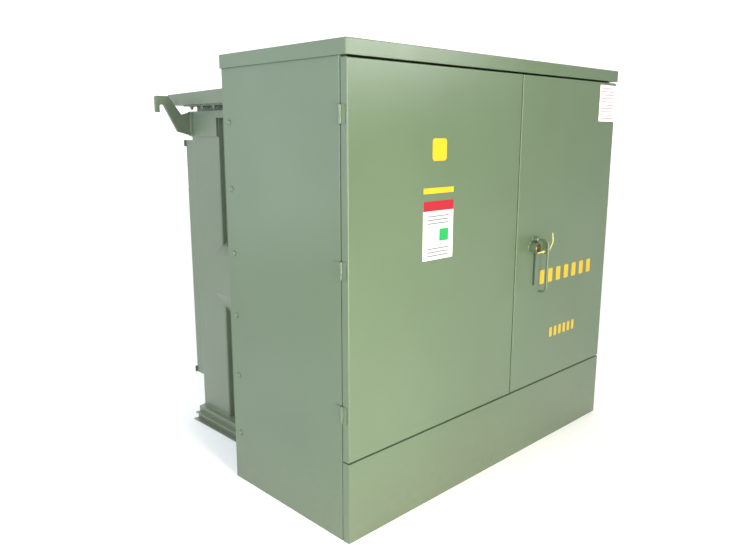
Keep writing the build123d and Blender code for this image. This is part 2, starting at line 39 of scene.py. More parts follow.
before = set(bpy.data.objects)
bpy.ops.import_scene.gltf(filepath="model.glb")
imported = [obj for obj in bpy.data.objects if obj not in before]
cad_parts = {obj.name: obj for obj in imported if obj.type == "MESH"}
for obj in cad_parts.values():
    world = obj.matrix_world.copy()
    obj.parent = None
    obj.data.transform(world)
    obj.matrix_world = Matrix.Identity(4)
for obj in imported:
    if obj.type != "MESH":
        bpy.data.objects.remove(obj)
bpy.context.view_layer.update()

FACE_LEFT = (0.0, math.radians(-90), 0.0)
FACE_RIGHT = (0.0, math.radians(90), 0.0)
FACE_FRONT = (math.radians(90), 0.0, 0.0)
FACE_DOWN = (math.radians(180), 0.0, 0.0)
NO_TURN = (0.0, 0.0, 0.0)
SHARP_ANGLE = math.radians(35)

# Nearly all of a noise texture lies between these, so they are spread to the whole range.
NOISE_RANGE = {"From Min": 0.3, "From Max": 0.7}


# Colours, nodes and settings

def linear(code):
    """The linear colour of an sRGB hex code."""
    parts = [int(code[i:i + 2], 16) / 255 for i in (0, 2, 4)]
    return [part / 12.92 if part <= 0.04045 else ((part + 0.055) / 1.055) ** 2.4 for part in parts]


def set_inputs(tree, node, inputs):
    """Sets a node's inputs to values, or links them to outputs. A node stands for its first output."""
    for name, value in inputs.items():
        if isinstance(value, bpy.types.Node):
            value = value.outputs[0]
        if isinstance(value, bpy.types.NodeSocket):
            tree.links.new(value, node.inputs[name])
        else:
            node.inputs[name].default_value = value


def add_node(tree, kind, inputs=None, **settings):
    """Adds a node with its own settings, and with its inputs set or linked."""
    node = tree.nodes.new(kind)
    for name, value in settings.items():
        setattr(node, name, value)
    set_inputs(tree, node, inputs or {})
    return node


def colour(code, name, text):
    """A colour that a user can change, from its sRGB hex code."""
    return FloatVectorProperty(name=name, description=text, subtype="COLOR", size=3, min=0, max=1,
                               default=linear(code))


def length(size, name, text):
    """A length that a user can change, in metres."""
    return FloatProperty(name=name, description=text, default=size, min=0, subtype="DISTANCE", unit="LENGTH",
                         precision=4)


class FinishSettings(bpy.types.PropertyGroup):
    """Colours of the finishes."""
    cabinet: colour("516448", "Cabinet coat", "Sage-green powder coat of the cabinet")
    cabinet_pale: colour("55694D", "Cabinet coat, pale", "The same coat where it lies thicker")
    tank: colour("67745F", "Tank paint", "Sage-green liquid paint of the tank")
    tank_pale: colour("6D7A66", "Tank paint, pale", "The same paint where it lies thicker")
    dust: colour("8C8A74", "Dust", "Dry dust near the ground")
    yellow: colour("C8A50D", "Yellow vinyl", "Plain yellow marks")
    red: colour("9C0A1F", "Red vinyl", "Band across the top of the door plate")
    green: colour("109449", "Green vinyl", "Plain square on the door plate")
    white: colour("F1F1EE", "White vinyl", "Ground of the door plate")
    grey: colour("77777A", "Grey print", "Plain bars on the door plate")
    pink: colour("E58A92", "Pink print", "Plain bars on the door sheet")


class FittingSettings(bpy.types.PropertyGroup):
    """Sizes of the bolts, nuts, studs, welds, dials and seals."""
    washer: length(0.0015, "Washer", "Thickness of the washers under dome heads and nuts")
    dome_radius: length(0.0105, "Dome radius", "Radius of the dome heads on the cabinet walls")
    dome_height: length(0.006, "Dome height", "Height of the dome heads on the cabinet walls")
    dome_first: length(0.206, "First dome", "Height of the lowest dome head above the ground")
    dome_pitch: length(0.2495, "Dome pitch", "Distance between the dome heads")
    dome_from_back: length(0.038, "Dome from back", "Distance of the dome heads from the wall's back edge")
    dome_count: IntProperty(name="Domes", description="Dome heads on each wall", default=6, min=1)
    cover_pitch: length(0.096, "Cover bolt pitch", "Distance between the bolts under the cover's flange")
    cover_bolt_inset: length(0.020, "Cover bolt inset", "Distance of these bolts from the flange's edge")
    cover_count: IntProperty(name="Cover bolts", description="Bolts on each side of the cover", default=7,
                             min=1)
    neck_flange: length(0.006, "Neck flange", "Thickness of the flange under the cover")
    hv_flange: length(0.014, "High voltage flange", "Thickness of the high voltage bushings' flanges")
    lv_flange: length(0.012, "Low voltage flange", "Thickness of the low voltage bushings' flanges")
    circle_inset: length(0.0088, "Bolt circle inset", "Distance of the bushings' nuts from the flange's edge")
    hook_plate: length(0.014, "Hook plate", "Thickness of the lifting hooks")
    nut_radius: length(0.0095, "Nut radius", "Radius over the corners of the hexagon nuts")
    nut_height: length(0.008, "Nut height", "Height of the hexagon nuts")
    stud_radius: length(0.005, "Stud radius", "Radius of the studs")
    stud_out: length(0.006, "Stud length", "How far a stud stands out of its nut")
    weld_radius: length(0.0035, "Weld radius", "Radius of a fillet weld's bead")
    weld_ripple: length(0.005, "Weld ripple", "Distance from one ripple of a weld to the next")
    dial_rim: length(0.0065, "Dial rim", "Width of the rim round each dial")
    dial_depth: length(0.003, "Dial depth", "How far a dial lies behind its rim")
    dial_thickness: length(0.0006, "Dial thickness", "Thickness of a dial and of its pointer")
    boss_reach: length(0.028, "Boss reach", "How far the handle's domed boss stands out of the door")
    bolt_reach: length(0.032, "Bolt reach", "How far the five-sided bolt stands out of the door")
    bolt_radius: length(0.011, "Bolt radius", "Radius over the corners of the five-sided bolt")
    bolt_chamfer: length(0.002, "Bolt chamfer", "Chamfer round the five-sided bolt's end")
    seal_width: length(0.010, "Seal width", "Width of the rubber seal on the back of each door")
    seal_height: length(0.0045, "Seal height", "Height of the rubber seal on the back of each door")
    seal_inset: length(0.003, "Seal inset", "Distance of the seal from the door's edge")


class MarkSettings(bpy.types.PropertyGroup):
    """Places and sizes of the plain marks on the doors."""
    vinyl: length(0.0004, "Vinyl thickness", "Thickness of the stuck marks")
    print_corner: length(0.001, "Print corner", "Corner radius of the strip, the bars and the paper")
    plate_corner: length(0.003, "Plate corner", "Corner radius of the door plate and its band")
    block_corner: length(0.004, "Block corner", "Corner radius of the yellow blocks and the green square")
    plate_left: length(0.361, "Plate left", "Distance of the door plate from the left door's outer edge")
    plate_width: length(0.167, "Plate width", "Width of the door plate")
    plate_low: length(0.962, "Plate bottom", "Height of the door plate's bottom edge")
    plate_high: length(1.176, "Plate top", "Height of the door plate's top edge")
    band: length(0.036, "Band height", "Height of the band on the door plate")
    square_width: length(0.052, "Square width", "Width of the green square on the door plate")
    square_height: length(0.046, "Square height", "Height of the green square on the door plate")
    square_right: length(0.026, "Square from right", "Distance of the square from the plate's right edge")
    square_low: length(0.066, "Square bottom", "Distance of the square from the plate's bottom edge")
    bar_width: length(0.118, "Bar width", "Width of the bars on the door plate")
    bar_height: length(0.006, "Bar height", "Height of the bars on the door plate")
    bar_pitch: length(0.013, "Bar pitch", "Distance between the bars on the door plate")
    bar_left: length(0.024, "Bar inset", "Distance of the bars from the plate's left edge")
    bars_top: length(0.058, "Upper bars", "Distance of the upper bars from the plate's top edge")
    bars_low: length(0.038, "Lower bars", "Distance of the lower bars from the plate's bottom edge")
    strip_low: length(1.203, "Strip bottom", "Height of the yellow strip's bottom edge")
    strip_height: length(0.020, "Strip height", "Height of the yellow strip")
    patch_low: length(1.318, "Patch bottom", "Height of the yellow patch's bottom edge")
    patch_size: length(0.078, "Patch size", "Width and height of the yellow patch")
    patch_corner: length(0.012, "Patch corner", "Corner radius of the yellow patch")
    sheet_width: length(0.146, "Sheet width", "Width of the paper on the right door")
    sheet_low: length(1.467, "Sheet bottom", "Height of the paper's bottom edge")
    sheet_high: length(1.631, "Sheet top", "Height of the paper's top edge")
    sheet_right: length(0.004, "Sheet from right", "Distance of the paper from the door's edge")
    sheet_margin: length(0.012, "Sheet margin", "Plain edge round the bars on the paper")
    sheet_bar: length(0.005, "Sheet bar", "Height of a bar on the paper")
    sheet_pitch: length(0.015, "Sheet bar pitch", "Distance between the bars on the paper")
    sheet_count: IntProperty(name="Sheet bars", description="Bars on the paper", default=10, min=1)


def tint(strength, name, text):
    """A light's strength in red, green and blue, which may be over one."""
    return FloatVectorProperty(name=name, description=text, size=3, min=0, default=strength)


class StageSettings(bpy.types.PropertyGroup):
    """The floor, the lights and the camera."""
    camera_place: FloatVectorProperty(name="Camera place", description="Where the camera stands", size=3,
                                      subtype="TRANSLATION", unit="LENGTH", default=(-2.3405, -2.301, 1.416))
    camera_along: FloatVectorProperty(name="Camera direction", description="The way the camera looks", size=3,
                                      subtype="DIRECTION", default=(0.6795, 0.7059, -0.2002))
    lens: FloatProperty(name="Lens", description="Focal length in millimetres", default=34.13, min=1)
    floor: length(14.0, "Floor", "Half the width of the floor")
    behind: tint((1.35, 1.35, 1.35), "Surroundings behind", "Light from behind the object and from above")
    left: tint((0.94, 1.0, 1.04), "Surroundings left", "Light from the left and the rear")
    front: tint((0.38, 0.4, 0.37), "Surroundings in front", "Light from the front and the right")
    corner: tint((1.1, 1.1, 0.95), "Surroundings front left", "Light from behind the camera")
    strip: tint((22.5, 21.0, 17.2), "Strip light", "Radiance of the tall light in front of the left door")
    high: tint((6.5, 6.5, 6.8), "High light", "Radiance of the light that the top of the left door reflects")
    side: tint((4.0, 4.6, 6.2), "Side light", "Radiance of the light that looks at the left wall")
    rear: tint((0.6, 0.6, 0.7), "Rear light", "Radiance of the tall light that the left wall reflects")
    lamp: tint((24.0, 24.0, 24.0), "Lamp", "Radiance of the small light by the camera, which edges the folds")


# Shapes

def lathe(shape, sides, *profile):
    """Adds a form turned round Z to a bmesh, from points of (radius, height)."""
    rings = []
    for radius, height in profile:
        count = sides if radius > 0 else 1
        turns = [2 * math.pi * i / sides for i in range(count)]
        rings.append([shape.verts.new((radius * math.cos(a), radius * math.sin(a), height)) for a in turns])
    for near, far in zip(rings, rings[1:]):
        for i in range(sides):
            j = (i + 1) % sides
            corners = (near[i % len(near)], near[j % len(near)], far[j % len(far)], far[i % len(far)])
            shape.faces.new(dict.fromkeys(corners))


def skin(shape, near, far):
    """Adds the faces between two closed rings with the same number of corners."""
    for i in range(len(near)):
        j = (i + 1) % len(near)
        shape.faces.new((near[i], near[j], far[j], far[i]))


def slab(shape, outline, back, thickness):
    """Adds a plate to a bmesh: an outline of points (x, z), its back at y, and its thickness forwards."""
    rear = [shape.verts.new((x, back, z)) for x, z in outline]
    front = [shape.verts.new((x, back - thickness, z)) for x, z in outline]
    shape.faces.new(rear)
    shape.faces.new(front)
    skin(shape, rear, front)


def circle(x, z, radius, count):
    """Points round a circle that faces the doors."""
    turns = [2 * math.pi * i / count for i in range(count)]
    return [(x + radius * math.cos(a), z + radius * math.sin(a)) for a in turns]


def round_corners(x0, x1, z0, z1, radius, steps=4):
    """The outline of a rectangle with round corners."""
    centres = ((x1 - radius, z1 - radius), (x0 + radius, z1 - radius), (x0 + radius, z0 + radius),
               (x1 - radius, z0 + radius))
    outline = []
    for quarter, (x, z) in enumerate(centres):
        for i in range(steps + 1):
            angle = math.radians(90 * (quarter + i / steps))
            outline.append((x + radius * math.cos(angle), z + radius * math.sin(angle)))
    return outline


def to_mesh(name, shape):
    """Turns a bmesh into a mesh with outward faces, smooth but for its sharp edges."""
    bmesh.ops.recalc_face_normals(shape, faces=shape.faces)
    mesh = bpy.data.meshes.new(name)
    shape.to_mesh(mesh)
    shape.free()
    mesh.shade_smooth()
    mesh.set_sharp_from_angle(angle=SHARP_ANGLE)
    return mesh


def place(name, shape, body, coat=None):
    """Puts a mesh or a bmesh in the scene as a piece that rides on a body. Its coat is a finish's name."""
    mesh = to_mesh(name, shape) if isinstance(shape, bmesh.types.BMesh) else shape
    if coat:
        mesh.materials.clear()
        mesh.materials.append(finish(coat))
    piece = bpy.data.objects.new(name, mesh)
    bpy.context.scene.collection.objects.link(piece)
    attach(piece, body)
    return piece


def make_plate(name, outline, back, thickness, body, coat):
    """A single flat plate as a piece."""
    shape = bmesh.new()
    slab(shape, outline, back, thickness)
    return place(name, shape, body, coat)


def dome_head(settings):
    """The mesh of a dome head on a thin washer, upright at the origin."""
    shape = bmesh.new()
    radius, height, washer = settings.dome_radius, settings.dome_height, settings.washer
    washer_radius = radius * 1.2
    lathe(shape, 24, (0, 0), (washer_radius, 0), (washer_radius, washer), (0, washer))
    dome = [(radius * math.cos(math.radians(a)), washer + height * math.sin(math.radians(a)))
            for a in (0, 22, 45, 68)]
    lathe(shape, 24, (0, washer), *dome, (0, washer + height))
    return to_mesh("dome_head", shape)


def nut_on_stud(settings):
    """The mesh of a hexagon nut on its washer with the end of the stud, upright at the origin."""
    shape = bmesh.new()
    nut, stud, washer = settings.nut_radius, settings.stud_radius, settings.washer
    washer_radius = nut * 1.15
    nut_chamfer = nut * 0.12
    stud_chamfer = stud * 0.2
    top = washer + settings.nut_height
    end = top + settings.stud_out
    lathe(shape, 20, (0, 0), (washer_radius, 0), (washer_radius, washer), (0, washer))
    lathe(shape, 6, (0, washer), (nut, washer), (nut, top - nut_chamfer), (nut - nut_chamfer, top), (0, top))
    lathe(shape, 12, (0, top), (stud, top), (stud, end - stud_chamfer), (stud - stud_chamfer, end), (0, end))
    return to_mesh("nut_on_stud", shape)


# Geometry trees

def new_tree(name, sockets):
    """A geometry tree with named inputs, and its input node."""
    tree = bpy.data.node_groups.new(name, "GeometryNodeTree")
    for title, kind in sockets:
        tree.interface.new_socket(title, in_out="INPUT", socket_type="NodeSocket" + kind)
    tree.interface.new_socket("Geometry", in_out="OUTPUT", socket_type="NodeSocketGeometry")
    return tree, tree.nodes.new("NodeGroupInput").outputs


def end_tree(tree, geometry, material):
    """Ends a tree with real geometry in one material."""
    real = add_node(tree, "GeometryNodeRealizeInstances", {"Geometry": geometry})
    dressed = add_node(tree, "GeometryNodeSetMaterial", {"Geometry": real, "Material": material})
    add_node(tree, "NodeGroupOutput", {"Geometry": dressed})
    return tree


def row_tree():
    """A tree that repeats a fitting along a straight row."""
    tree, given = new_tree("row_of_fittings", (("Fitting", "Object"), ("Count", "Int"), ("Start", "Vector"),
                                               ("Step", "Vector"), ("Turn", "Vector"),
                                               ("Material", "Material")))
    row = add_node(tree, "GeometryNodeMeshLine",
                   {"Count": given["Count"], "Start Location": given["Start"], "Offset": given["Step"]},
                   mode="OFFSET")
    fitting = add_node(tree, "GeometryNodeObjectInfo", {"Object": given["Fitting"]})
    turn = add_node(tree, "FunctionNodeEulerToRotation", {"Euler": given["Turn"]})
    copies = add_node(tree, "GeometryNodeInstanceOnPoints",
                      {"Points": row, "Instance": fitting.outputs["Geometry"], "Rotation": turn})
    return end_tree(tree, copies, given["Material"])


def ring_tree():
    """A tree that repeats a fitting round a circle or an arc, and faces the whole ring one way."""
    tree, given = new_tree("ring_of_fittings", (("Fitting", "Object"), ("Count", "Int"), ("Radius", "Float"),
                                                ("First Angle", "Float"), ("Angle Step", "Float"),
                                                ("Centre", "Vector"), ("Turn", "Vector"),
                                                ("Material", "Material")))
    index = add_node(tree, "GeometryNodeInputIndex")
    angle = add_node(tree, "ShaderNodeMath",
                     {0: index, 1: given["Angle Step"], 2: given["First Angle"]}, operation="MULTIPLY_ADD")
    across = add_node(tree, "ShaderNodeMath", {0: angle}, operation="COSINE")
    up = add_node(tree, "ShaderNodeMath", {0: angle}, operation="SINE")
    direction = add_node(tree, "ShaderNodeCombineXYZ", {"X": across, "Y": up})
    spot = add_node(tree, "ShaderNodeVectorMath", {0: direction, "Scale": given["Radius"]}, operation="SCALE")
    points = add_node(tree, "GeometryNodeMeshLine", {"Count": given["Count"]}, mode="OFFSET")
    ring = add_node(tree, "GeometryNodeSetPosition", {"Geometry": points, "Position": spot})
    fitting = add_node(tree, "GeometryNodeObjectInfo", {"Object": given["Fitting"]})
    turned = add_node(tree, "ShaderNodeCombineXYZ", {"Z": angle})
    own_turn = add_node(tree, "FunctionNodeEulerToRotation", {"Euler": turned})
    copies = add_node(tree, "GeometryNodeInstanceOnPoints",
                      {"Points": ring, "Instance": fitting.outputs["Geometry"], "Rotation": own_turn})
    real = add_node(tree, "GeometryNodeRealizeInstances", {"Geometry": copies})
    faced = add_node(tree, "GeometryNodeTransform",
                     {"Geometry": real, "Translation": given["Centre"], "Rotation": given["Turn"]})
    return end_tree(tree, faced, given["Material"])


def weld_tree():
    """A tree that lays a bead along drawn lines: rippled, and a little uneven as a hand leaves it."""
    drift_scale = 60.0
    ripple_height = 0.22
    thinnest, drift_height = 0.6, 0.5
    tree, given = new_tree("weld_bead", (("Lines", "Geometry"), ("Radius", "Float"), ("Ripple", "Float"),
                                         ("Material", "Material")))
    curve = add_node(tree, "GeometryNodeMeshToCurve", {"Mesh": given["Lines"]})
    half_ripple = add_node(tree, "ShaderNodeMath", {0: given["Ripple"], 1: 2.0}, operation="DIVIDE")
    even = add_node(tree, "GeometryNodeResampleCurve", {"Curve": curve, "Length": half_ripple}, mode="LENGTH")
    index = add_node(tree, "GeometryNodeInputIndex")
    pair = add_node(tree, "ShaderNodeMath", {0: index, 1: 2.0}, operation="MODULO")
    drift = add_node(tree, "ShaderNodeTexNoise", {"Scale": drift_scale})
    uneven = add_node(tree, "ShaderNodeMath",
                      {0: drift, 1: drift_height, 2: thinnest}, operation="MULTIPLY_ADD")
    ripple = add_node(tree, "ShaderNodeMath",
                      {0: pair, 1: ripple_height, 2: uneven}, operation="MULTIPLY_ADD")
    thick = add_node(tree, "GeometryNodeSetCurveRadius", {"Curve": even, "Radius": ripple})
    profile = add_node(tree, "GeometryNodeCurvePrimitiveCircle", {"Resolution": 8, "Radius": given["Radius"]})
    bead = add_node(tree, "GeometryNodeCurveToMesh",
                    {"Curve": thick, "Profile Curve": profile, "Fill Caps": True})
    smooth = add_node(tree, "GeometryNodeSetShadeSmooth", {"Geometry": bead})
    return end_tree(tree, smooth, given["Material"])


def tree_named(name, make):
    """A tree that was made before, or a new one."""
    return bpy.data.node_groups.get(name) or make()


def grow(name, tree, inputs, body, coat, start=None):
    """Runs a geometry tree once and keeps the result as a plain mesh that rides on a body."""
    inputs = {**inputs, "Material": finish(coat)}
    maker = bpy.data.objects.new(name + "_maker", start or bpy.data.meshes.new(name + "_start"))
    bpy.context.scene.collection.objects.link(maker)
    modifier = maker.modifiers.new("tree", "NODES")
    modifier.node_group = tree
    for socket in tree.interface.items_tree:
        if socket.in_out == "INPUT" and socket.name in inputs:
            modifier[socket.identifier] = inputs[socket.name]
    bpy.context.view_layer.update()
    evaluated = maker.evaluated_get(bpy.context.evaluated_depsgraph_get())
    mesh = bpy.data.meshes.new_from_object(evaluated)
    maker.modifiers.remove(modifier)
    bpy.data.objects.remove(maker)
    if not mesh.polygons:
        raise RuntimeError(name + " came out empty")
    return place(name, mesh, body)


def repeat(name, tree, mesh, inputs, body, coat):
    """Runs a tree that repeats a small mesh, which is in the scene only while the tree runs."""
    fitting = bpy.data.objects.new(mesh.name, mesh)
    bpy.context.scene.collection.objects.link(fitting)
    piece = grow(name, tree, {**inputs, "Fitting": fitting}, body, coat)
    bpy.data.objects.remove(fitting)
    return piece


def row(name, mesh, count, start, step, turn, body, coat, slot=None):
    """A straight row of a small mesh as one piece."""
    inputs = {"Count": count, "Start": start, "Step": step, "Turn": turn}
    return repeat(name, tree_named("row_of_fittings", row_tree), mesh, inputs, body, coat)


def ring(name, mesh, count, radius, first_angle, angle_step, centre, body, coat, slot=None):
    """A small mesh repeated round a circle or an arc that faces the doors, as one piece."""
    inputs = {"Count": count, "Radius": radius, "First Angle": first_angle, "Angle Step": angle_step,
              "Centre": centre, "Turn": FACE_FRONT}
    return repeat(name, tree_named("ring_of_fittings", ring_tree), mesh, inputs, body, coat)


def plate_row(name, outline, thickness, count, start, step, body, coat):
    """A straight row of like flat plates as one piece."""
    shape = bmesh.new()
    slab(shape, outline, 0, thickness)
    return row(name, to_mesh(name + "_plate", shape), count, start, step, NO_TURN, body, coat)


def join(name, pieces):
    """Joins pieces of one body into the first of them."""
    shape = bmesh.new()
    for piece in pieces:
        shape.from_mesh(piece.data)
    first = pieces[0]
    shape.to_mesh(first.data)
    shape.free()
    for piece in pieces[1:]:
        bpy.data.objects.remove(piece)
    first.name = name
    return first


# Materials

def new_material(name):
    """A material with nodes, its tree, its shader and the object's own coordinates."""
    material = bpy.data.materials.new(name)
    material.use_nodes = True
    shader = material.node_tree.nodes["Principled BSDF"]
    place_of = add_node(material.node_tree, "ShaderNodeTexCoord").outputs["Object"]
    return material, material.node_tree, shader, place_of


def grained(name, dark, pale, rough, size, depth, metallic=0.0, ior=1.5, stretch=(1, 1, 1)):
    """A solid material with grain: two colours and two roughnesses, and the size and depth of its grain."""
    material, tree, shader, place_of = new_material(name)
    along = add_node(tree, "ShaderNodeMapping", {"Vector": place_of, "Scale": [1 / part for part in stretch]})
    grain = add_node(tree, "ShaderNodeTexNoise", {"Vector": along, "Scale": 1 / size, "Detail": 3.0})
    share = add_node(tree, "ShaderNodeMapRange", {"Value": grain, **NOISE_RANGE})
    tone = add_node(tree, "ShaderNodeMix", {0: share, 6: [*dark, 1], 7: [*pale, 1]}, data_type="RGBA")
    shine = add_node(tree, "ShaderNodeMapRange", {"Value": share, "To Min": rough[0], "To Max": rough[1]})
    relief = add_node(tree, "ShaderNodeBump", {"Height": grain, "Distance": depth})
    set_inputs(tree, shader, {"Base Color": tone.outputs[2], "Roughness": shine, "Normal": relief,
                              "Metallic": metallic})
    if not metallic:
        shader.inputs["IOR"].default_value = ior
    return material


def coated_steel(name, dark, pale, dust, peel, peel_depth, rough, ior):
    """Painted sheet steel: broad tone changes, a wavy sheet, orange peel, and dust near the ground."""
    patch_size, smear_size, speck_size = 0.45, 0.12, 0.03
    smear_stretch = 3
    wave_size, wave_depth = 0.55, 0.0004
    dust_height, most_dust = 0.30, 0.28
    material, tree, shader, place_of = new_material(name)
    patches = add_node(tree, "ShaderNodeTexNoise", {"Vector": place_of, "Scale": 1 / patch_size})
    share = add_node(tree, "ShaderNodeMapRange", {"Value": patches, **NOISE_RANGE})
    coat = add_node(tree, "ShaderNodeMix", {0: share, 6: [*dark, 1], 7: [*pale, 1]}, data_type="RGBA")
    height = add_node(tree, "ShaderNodeSeparateXYZ", {"Vector": place_of})
    low = add_node(tree, "ShaderNodeMapRange",
                   {"Value": height.outputs["Z"], "From Min": 0.0, "From Max": dust_height,
                    "To Min": most_dust, "To Max": 0.0})
    specks = add_node(tree, "ShaderNodeTexNoise",
                      {"Vector": place_of, "Scale": 1 / speck_size, "Detail": 6.0})
    settled = add_node(tree, "ShaderNodeMath", {0: low, 1: specks}, operation="MULTIPLY", use_clamp=True)
    tone = add_node(tree, "ShaderNodeMix", {0: settled, 6: coat.outputs[2], 7: [*dust, 1]}, data_type="RGBA")
    tall = add_node(tree, "ShaderNodeMapping", {"Vector": place_of, "Scale": (1, 1, 1 / smear_stretch)})
    smears = add_node(tree, "ShaderNodeTexNoise", {"Vector": tall, "Scale": 1 / smear_size, "Detail": 4.0})
    shine = add_node(tree, "ShaderNodeMapRange",
                     {"Value": smears, **NOISE_RANGE, "To Min": rough[0], "To Max": rough[1]})
    waves = add_node(tree, "ShaderNodeTexNoise", {"Vector": place_of, "Scale": 1 / wave_size, "Detail": 1.0})
    wavy = add_node(tree, "ShaderNodeBump", {"Height": waves, "Distance": wave_depth})
    pits = add_node(tree, "ShaderNodeTexNoise", {"Vector": place_of, "Scale": 1 / peel, "Detail": 1.0})
    pitted = add_node(tree, "ShaderNodeBump", {"Height": pits, "Distance": peel_depth, "Normal": wavy})
    set_inputs(tree, shader, {"Base Color": tone.outputs[2], "Roughness": shine, "Normal": pitted,
                              "IOR": ior})
    return material


def vinyl(name, tone):
    """Cast vinyl film: an even colour with a soft shine, and the faintest mottle of the steel under it."""
    pale = [min(1.0, part * 1.06) for part in tone]
    return grained(name, list(tone), pale, (0.32, 0.42), 0.02, 0.00002, ior=1.49)


# Each grained finish: the material's name, its dark and pale colours, its roughness, the size and depth of
# its grain, and what else it needs
GRAINED = {
    # Turned silicon bronze: warm, with fine marks of the tool.
    "bronze": ("turned_silicon_bronze", "A8703F", "CF9A63", (0.26, 0.42), 0.003, 0.00003,
               {"metallic": 1.0, "stretch": (1, 8, 1)}),
    # Moulded EPDM rubber of the door seals: near black, matt, faintly mottled.
    "rubber": ("moulded_epdm_rubber", "1B1D1C", "272A28", (0.62, 0.78), 0.006, 0.00005, {"ior": 1.52}),
    # Rubber strip behind the handle, matt; its dark green, darker than the cabinet's coat, is painted shade.
    "green_rubber": ("moulded_green_rubber", "2A4030", "334C39", (0.55, 0.7), 0.006, 0.00005, {"ior": 1.52}),
    # Cast epoxy: brown and glassy, with slow streaks from the mould.
    "epoxy": ("cast_epoxy", "5A3322", "70432D", (0.18, 0.30), 0.05, 0.00004, {"ior": 1.56}),
    # Tin-plated copper: a dull white metal with wiped smears.
    "tinned_copper": ("tin_plated_copper", "B9B4A9", "D2CEC4", (0.30, 0.48), 0.02, 0.00002,
                      {"metallic": 1.0, "stretch": (1, 4, 1)}),
    # Drawn stainless rod: bright, with grain along the pin.
    "stainless": ("drawn_stainless_steel", "9FA2A2", "C0C3C3", (0.24, 0.36), 0.002, 0.00001,
                  {"metallic": 1.0, "stretch": (1, 1, 12)}),
    # Bright zinc plating: a cool grey metal with cloudy patches.
    "zinc": ("zinc_plated_steel", "A4A8A6", "C9CCC7", (0.30, 0.46), 0.008, 0.00003, {"metallic": 1.0}),
    # Injection-moulded nylon: pale yellow, waxy, with a weak shine.
    "nylon": ("moulded_yellow_nylon", "CFC56A", "DDD47E", (0.40, 0.52), 0.004, 0.00003, {"ior": 1.53}),
    # Laminated electrical steel: dark blue-grey sheets stacked on edge, drawn coarser than the real 0.3 mm.
    "core_steel": ("laminated_electrical_steel", "2E3133", "55595C", (0.38, 0.55), 0.004, 0.0002,
                   {"metallic": 1.0, "stretch": (40, 0.5, 40)}),
    # Oil-soaked kraft paper: brown, fibrous, wound in turns that lie level.
    "kraft": ("kraft_insulating_paper", "6E4C28", "96703F", (0.45, 0.62), 0.008, 0.0004,
              {"ior": 1.47, "stretch": (12, 12, 1)}),
    # White stove enamel of a dial: even and a little shiny.
    "dial": ("enamelled_dial", "E9E8E2", "F4F3EF", (0.28, 0.36), 0.03, 0.00001, {}),
    # Black printing ink: flat black with a trace of the screen.
    "ink": ("black_printing_ink", "151515", "202020", (0.45, 0.6), 0.002, 0.00001, {}),
    # Uncoated paper of the sheet on the door: soft white fibres, no shine.
    "paper": ("uncoated_paper", "F6EDEE", "FBF5F5", (0.75, 0.9), 0.003, 0.00004, {"ior": 1.45}),
    # Painted studio floor: white, matt and even, with the least unevenness of rolled paint.
    "floor": ("rolled_white_floor_paint", "FDFDFC", "FFFFFF", (0.8, 0.9), 0.3, 0.00001, {}),
}


def make_finishes(settings):
    """Every material by its short name."""
    made = {}
    # Polyester powder baked on sheet steel: satin, softly rippled like orange peel, broad mild reflections.
    made["powder_coat"] = coated_steel("powder_coated_sheet_steel", settings.cabinet, settings.cabinet_pale,
                                       settings.dust, 0.009, 0.00004, (0.30, 0.36), 1.75)
    # Liquid enamel on welded plate: a little greyer and duller, with a coarser peel.
    made["tank_paint"] = coated_steel("enamelled_tank_plate", settings.tank, settings.tank_pale,
                                      settings.dust, 0.012, 0.00011, (0.30, 0.40), 1.6)
    for key, (name, dark, pale, rough, size, depth, more) in GRAINED.items():
        made[key] = grained(name, linear(dark), linear(pale), rough, size, depth, **more)
    for tone in ("yellow", "red", "green", "white", "grey", "pink"):
        made[tone] = vinyl(tone + "_vinyl", getattr(settings, tone))
    return made


def finish(name):
    """A material by its short name. The first call makes them all."""
    if not FINISHES:
        FINISHES.update(make_finishes(bpy.context.scene.transformer_finishes))
    return FINISHES[name]


FINISHES = {}
# The nodes in tank paint and those in a finish of their own. All others have the cabinet's powder coat.
TANK_NODES = ("tank_front_plate", "tank_wall", "tank_floor", "tank_top_flange", "tank_cover",
              "left_base_channel", "right_base_channel", "belt_plates", "hook_pads", "left_lifting_hooks",
              "right_lifting_hooks", "left_side_box", "right_side_box", "cooling_fins", "fin_tie_bars",
              "centre_barrier")
# The handle's bumper takes the rubber whose dark green is painted shade.
OTHER_NODES = {"door_bolt": "bronze", "drain_valve": "bronze", "handle_bumper": "green_rubber",
               "hv_bushings": "epoxy", "lv_bushings": "epoxy", "lv_spades": "tinned_copper",
               "hinge_pins": "stainless", "latch_cam": "zinc", "oil_gauges": "zinc", "handle_tie": "nylon",
               "transformer_core": "core_steel", "windings": "kraft"}


# Each light's setting, place, aim, and width and height
LIGHTS = (
    ("strip", (-1.2, -2.5, 1.0), (-0.6, -0.7, 0.85), (0.4, 2.0)),
    ("high", (0.7, -2.3, 2.2), (-0.5, -0.7, 1.6), (1.4, 0.7)),
    ("side", (-2.7, -0.2, 1.5), (-0.9, -0.3, 1.1), (1.0, 1.0)),
    ("rear", (-2.3, 1.5, 1.6), (-0.9, -0.3, 1.1), (1.0, 2.0)),
    ("lamp", (-2.5, -2.6, 2.1), (-0.8, -0.6, 1.0), (0.4, 0.4)),
)


# Each row of blocks on the right door: its name, its distance from the door's edge, its height above the
# ground, the blocks' width and height, the distance from one to the next, and how many
BLOCK_ROWS = (
    ("large_blocks", 0.189, 0.760, 0.036, 0.062, 0.0675, 7),
    ("small_blocks", 0.294, 0.497, 0.021, 0.045, 0.0385, 6),
)


# Operators, one for each piece or group of like pieces

